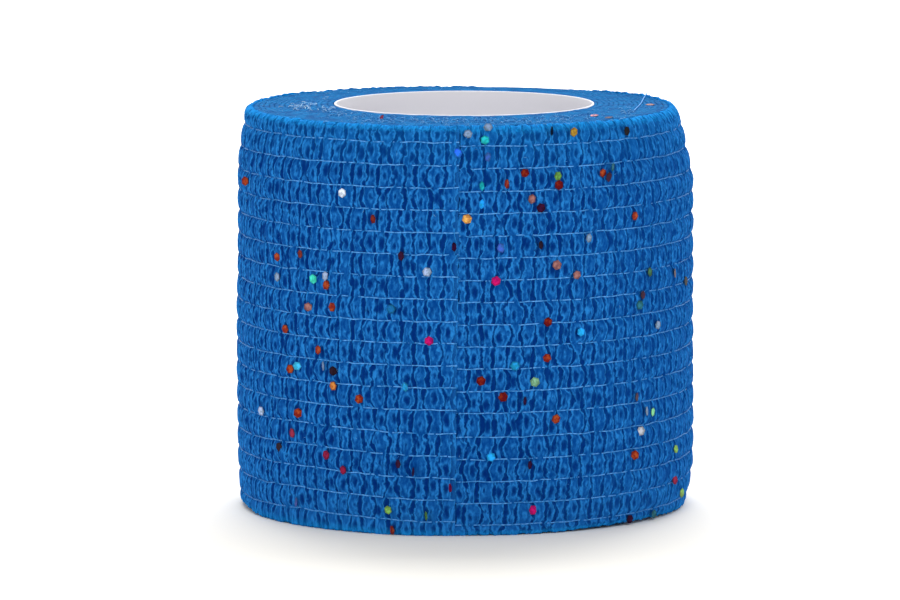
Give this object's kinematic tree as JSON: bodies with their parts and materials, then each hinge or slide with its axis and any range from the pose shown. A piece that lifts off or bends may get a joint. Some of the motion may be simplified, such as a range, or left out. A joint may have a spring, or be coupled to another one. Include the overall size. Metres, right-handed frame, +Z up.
{
  "type": "cohesive bandage roll",
  "caption": "Crinkled elastic cloth strip wound on a thin white tube, standing on one end, with its outer end lying flat on the roll.",
  "frame": {"origin": "centre of the roll's foot, on the surface that it stands on", "axes": "+Z up along the roll's axis; -Y towards the side where the strip's outer end lies"},
  "size_m": [0.0573, 0.0577, 0.0502],
  "materials": {
    "crinkled_cloth": "matte, puckered between elastic threads",
    "white_plastic": "smooth, slightly satin",
    "elastic_thread": "thin, pale, slightly glossy",
    "glitter_film": "small metallised flakes in mixed colours"
  },
  "bodies": {
    "root": {"bandage": "crinkled_cloth", "tube": "white_plastic"}
  },
  "joints": []
}
